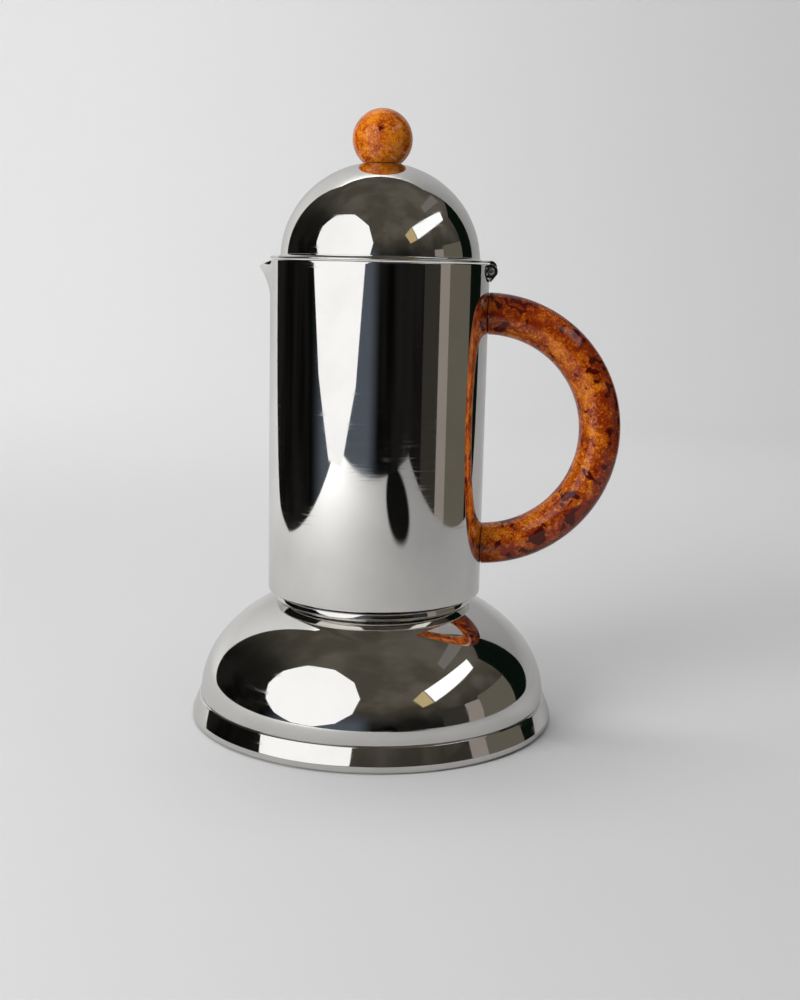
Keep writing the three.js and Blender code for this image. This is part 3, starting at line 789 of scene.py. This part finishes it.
def make_lid():
    """The lid with its flat brim, the ball knob, and the screw and washer that hold it."""
    brim_top = BRIM_LOW + BRIM_THICK
    fillet = 0.9
    outer = arch(LID_R, LID_RISE, BRIM_LOW, LID_R - 1e-4, 0.001, 160)
    outer = [p for p in outer if p[1] > brim_top + fillet]
    hollow = [
        (LID_R + fillet * (1 - math.cos(a)), brim_top + fillet * (1 - math.sin(a)))
        for a in (math.pi / 2 * (1 - i / 8) for i in range(9))
    ]
    inner = arch(LID_R - WALL, LID_RISE - WALL, BRIM_LOW, LID_R - WALL - 1e-4, 0.001, 96)
    inner.reverse()
    edge = [(LID_R, BRIM_LOW), (JUG_R, BRIM_LOW, 0.42), (JUG_R, brim_top, 0.42), (LID_R, brim_top)]
    edge = rounded(edge, closed=False)[1:-1]
    outline = [(0, LID_TOP - WALL)] + inner[1:] + edge + hollow + outer
    outline[-1] = (0, LID_TOP)
    piece(turned("lid_dome_spun", outline, AROUND * 2), "lid", POLISHED, "polished_steel", "lid_dome")

    centre = knob_high.z - KNOB_R

    def clear_of_lid(r):
        """Whether the ball's underside is off the lid at a radius, so that its flared foot ends there."""
        return centre - math.sqrt(KNOB_R**2 - r**2) > lid_z(r) + 0.1

    seat_r = next(i / 100 for i in range(1, 1100) if clear_of_lid(i / 100))
    low_angle = -math.acos(seat_r / KNOB_R)
    ball = [(0, LID_TOP + 0.1)] + [(seat_r * i / 12, lid_z(seat_r * i / 12) + 0.1) for i in range(1, 12)]
    ball += [
        (KNOB_R * math.cos(a), centre + KNOB_R * math.sin(a))
        for a in (low_angle + (math.pi / 2 - low_angle) * i / 96 for i in range(97))
    ]
    ball[-1] = (0, knob_high.z)
    piece(turned("knob_ball", ball), "lid", KNOB_RESIN, "resin", "knob")

    low, high = mm_box("knob_screw")
    face = low.z + 1.8
    screw = [(0, low.z), (2.1, low.z, 0.4), (3.5, low.z + 1.0, 0.5), (3.5, face, 0.1)]
    screw += [(1.5, face), (1.5, high.z - 2), (0, high.z - 2)]
    screw = turned("knob_screw_turned", rounded(screw, closed=False), SMALL)
    piece(screw, "lid", SATIN, "inner_steel", "knob_screw")
    low, high = mm_box("knob_washer")
    washer = [(1.8, low.z, 0.1), (high.x, low.z, 0.25), (high.x, high.z, 0.25), (1.8, high.z, 0.1)]
    washer = turned("knob_washer_pressed", rounded(washer), SMALL)
    piece(washer, "lid", SATIN, "inner_steel", "knob_washer")


make_lid()


# ---------- pieces that stay as the frame has them ----------

for names, material, slot in (
    (("valve_nut", "valve_seat"), BRASS, "brass"),
    (("valve_spring", "filter_basket", "basket_strainer", "filter_plate"), SATIN, "inner_steel"),
    (("gasket",), RUBBER, "rubber"),
):
    for name in names:
        node = frame["nodes"][name]
        node.data.materials.clear()
        node.data.materials.append(material)


# ---------- stage ----------


def glow(name, color, strength):
    """A plain shining face, for what the steel mirrors."""
    s = Shader(name)
    light = s.add("Emission", {"Color": color, "Strength": strength})
    s.add("OutputMaterial", {"Surface": light.outputs[0]})
    return s.material


def staged(obj, material, glossy_only=False, no_glossy=False):
    """A stage piece. Some are only seen in the steel, and some by all but the steel."""
    obj.data.materials.clear()
    obj.data.materials.append(material)
    if glossy_only:
        for ray in ("camera", "diffuse", "transmission", "shadow", "volume_scatter"):
            setattr(obj, "visible_" + ray, False)
    if no_glossy:
        obj.visible_glossy = False
    return obj


def direction(azimuth, elevation):
    """A direction in degrees: azimuth 0 points to -Y, where the camera is, and 90 to +X."""
    a, e = math.radians(azimuth), math.radians(elevation)
    return Vector((math.sin(a) * math.cos(e), -math.cos(a) * math.cos(e), math.sin(e)))


def card(name, corners, material):
    """A flat card between corners in millimetres, seen only in reflections."""
    obj = mesh_object(name, corners, [list(range(len(corners)))])
    return staged(obj, material, glossy_only=True)


def far_card(name, directions, distance, material):
    """A card whose corners lie in directions, (azimuth, elevation), seen from the middle of the pot."""
    return card(name, [Vector((0, 0, 120)) + direction(*d) * distance for d in directions], material)


def paper_material(name, reach, wall, floor, shade=None):
    """Pale paper, painted with light and shade. floor is its pair of shades near the pot, and wall the pair
    further off, each from reach metres on the left to reach metres on the right: painted darker on the
    right, where the key light's shadow falls, and mostly brighter further off, to make up for the light
    fading with distance. shade is a painted shadow's middle and half size,
    in millimetres: a dark patch."""
    s = Shader(name)
    place = s.place()
    # Painted shade: the paper darkens towards the right, where the key light's shadow falls.
    painted_side_shade = s.ramp(s.axis(place, 0), -reach, reach)
    # Painted light: the tones further from the pot are mostly brighter, to make up for the light fading
    # with distance.
    far = s.ramp(s.length(place), 0.3, reach * 1.3)
    shades = [s.mix(painted_side_shade, *[(v, v, v, 1) for v in pair]) for pair in (floor, wall)]
    color = s.mix(far, *shades)
    # Painted shadow: a dark patch with a soft edge, darkening the paper about its middle.
    if shade:
        middle, half = shade
        near = s.length(s.scaled(s.away_from(middle), [1 / (c * MM) for c in half]))
        color = s.mix(s.ramp(near, 1.08, 0.88), color, (0.006, 0.006, 0.005, 1))
    grain = s.noise(place, 900.0, 3.0)
    return s.finish(Base_Color=color, Roughness=0.95, Specular_IOR_Level=0.0, Normal=s.bump(grain, 0.00001))


def make_paper():
    """The seamless floor that the camera sees, and the sheet that the steel mirrors instead."""
    # Both papers are painted with light and shade. The sheet the steel mirrors is painted darker than the
    # floor the camera sees.
    paper = paper_material("pale_paper", 0.9, (0.75, 0.55), (0.575, 0.555))
    # patch is a painted shadow on the sheet the steel mirrors, in front of the pot and to its right.
    patch = ((212, -520, 0), (104, 180, 1000))
    mirrored = paper_material("mirrored_paper", 0.45, (0.60, 0.42), (0.50, 0.38), patch)
    curve = [math.pi / 2 * i / 32 for i in range(33)]
    bowl = [(0, 0), (400, 0), (900, 0)]
    bowl += [(1000 + 800 * math.sin(a), 800 - 800 * math.cos(a)) for a in curve]
    bowl += [(1800, 2300)]
    staged(turned("seamless_floor", bowl, 96), paper, no_glossy=True)

    # The steel mirrors a narrower sweep, a hair above the floor so that the floor doesn't shade it.
    left, right, front, back, cove, top, lift = -425, 437, -660, 340, 150, 980, 0.15
    profile = [(-560, front, lift), (-400, 60, lift), (left, back - cove, lift)]
    for i in range(1, 17):
        angle = math.pi / 2 * i / 16
        y, z = back - cove + cove * math.sin(angle), lift + cove - cove * math.cos(angle)
        profile.append((left, y, z))
    profile.append((left, back, top))
    vertices = profile + [(right, y, z) for _, y, z in profile]
    count = len(profile)
    faces = [[i, i + 1, count + i + 1, count + i] for i in range(count - 1)]
    staged(mesh_object("paper_in_reflections", vertices, faces), mirrored, glossy_only=True)


make_paper()


def make_room():
    """What the steel mirrors beyond the paper: a dim room, a large softbox, a window and walls."""
    # The room's glow is painted light: dark near the floor and brighter up high, towards the ceiling, dark
    # again up high at the far left, and with a painted cool spill of light low at the front left.
    dark = Shader("dim_room")
    place = dark.place()
    up = dark.axis(place, 2)
    shade = dark.ramp(up, 0.15, 2.0)
    blotch = dark.ramp(dark.noise(place, 1.1, 2.0), 0.35, 0.65)
    low = dark.mix(blotch, (0.002, 0.002, 0.0022, 1), (0.012, 0.0115, 0.0105, 1))
    high = dark.mix(blotch, (0.072, 0.064, 0.050, 1), (0.110, 0.100, 0.083, 1))
    across = dark.axis(place, 0)
    high = dark.mix(dark.ramp(across, -2.6, -0.9), (0.012, 0.012, 0.010, 1), high)
    tone = dark.mix(shade, low, high)
    spill = dark.math("MULTIPLY", dark.ramp(across, 0.15, -0.5), dark.ramp(across, -2.9, -2.2))
    spill = dark.math("MULTIPLY", spill, dark.ramp(dark.axis(place, 1), -0.8, -1.6))
    tone = dark.mix(dark.math("MULTIPLY", spill, dark.ramp(up, 1.4, 0.2)), tone, (0.085, 0.10, 0.125, 1))
    light = dark.add("Emission", {"Color": tone, "Strength": 1.0})
    dark.add("OutputMaterial", {"Surface": light.outputs[0]})
    curve = [math.pi * (i / 24 - 0.5) for i in range(1, 24)]
    outline = [(0, -1200)] + [(3000 * math.cos(a), 700 + 1900 * math.sin(a)) for a in curve] + [(0, 2600)]
    staged(turned("room_in_reflections", outline, 64), dark.material, glossy_only=True)

    radius = 325
    middle = direction(-46, 0) * 490 + Vector((0, 0, 270))
    facing = direction(-30, 34).to_track_quat("Z", "Y").to_matrix()
    corners = []
    for i in range(12):
        angle = math.pi / 6 * (i + 0.5)
        corners.append(middle + facing @ Vector((math.cos(angle), math.sin(angle), 0)) * radius)
    card("softbox", corners, glow("softbox_face", (0.98, 0.985, 1.0, 1), 1.16))

    # Each far card: its corners' directions, its distance in millimetres, its colour and strength.
    # The beam, the walls and the curtain are no lamps: their glow is painted light.
    for name, corners, distance, color, strength in (
        ("window_cool", [(46, 25.5), (96, 37), (102, 43), (43, 39)], 1800, (0.95, 0.98, 1.0, 1), 1.3),
        ("window_warm", [(31, 31), (36, 21.5), (45, 25), (42, 39)], 1750, (0.9, 0.70, 0.36, 1), 0.6),
        ("ceiling_beam", [(76, 50), (118, 46), (124, 51), (80, 56)], 1900, (0.17, 0.16, 0.15, 1), 1.0),
        ("wall_brown", [(47, -20), (65, -20), (65, 14), (47, 14)], 1550, (0.035, 0.032, 0.027, 1), 1.0),
        ("wall_light", [(65, -20), (77, -20), (77, 14), (65, 14)], 1500, (0.28, 0.25, 0.225, 1), 1.0),
        ("wall_grey", [(77, -20), (108, -20), (108, 17), (77, 17)], 1600, (0.125, 0.115, 0.09, 1), 1.0),
        ("curtain", [(108, -20), (150, -20), (150, 42), (108, 36)], 1500, (0.003, 0.006, 0.004, 1), 1.0),
    ):
        far_card(name, corners, distance, glow(name + "_face", color, strength))


make_room()


# ---------- lights, camera ----------


def area_light(name, middle, target, size, power):
    """A soft round light between two places in millimetres. The steel shows the cards instead."""
    data = bpy.data.lights.new(name, "AREA")
    data.shape = "DISK"
    data.size = size * MM
    data.energy = power
    obj = bpy.data.objects.new(name, data)
    bpy.context.scene.collection.objects.link(obj)
    obj.location = Vector(middle) * MM
    obj.rotation_euler = (Vector(middle) - Vector(target)).to_track_quat("Z", "Y").to_euler()
    obj.visible_glossy = False


area_light("softbox_light", direction(-46, 27) * 950, (0, 0, 80), 620, 7.6)
area_light("sky_light", (0, 0, 1900), (0, 0, 0), 1800, 5.5)
area_light("back_light", (-150, 450, 1300), (-150, 1600, 250), 900, 11)

world = bpy.data.worlds.new("ambient")
world.use_nodes = True
world.node_tree.nodes["Background"].inputs["Color"].default_value = (0.98, 0.985, 1.0, 1)
world.node_tree.nodes["Background"].inputs["Strength"].default_value = 0.50
bpy.context.scene.world = world
bpy.context.scene.view_settings.view_transform = "Standard"

camera_data = bpy.data.cameras.new("camera")
camera_data.lens = 48.74
camera_data.clip_start = 0.01
camera = bpy.data.objects.new("camera", camera_data)
bpy.context.scene.collection.objects.link(camera)
camera.location = (0.0094, -0.515, 0.1755)
tilt = Euler((math.radians(80), 0, 0)).to_matrix().to_4x4()
roll = Matrix.Rotation(math.radians(1.3), 4, "Z")
camera.rotation_euler = (tilt @ roll).to_euler()
bpy.context.scene.camera = camera
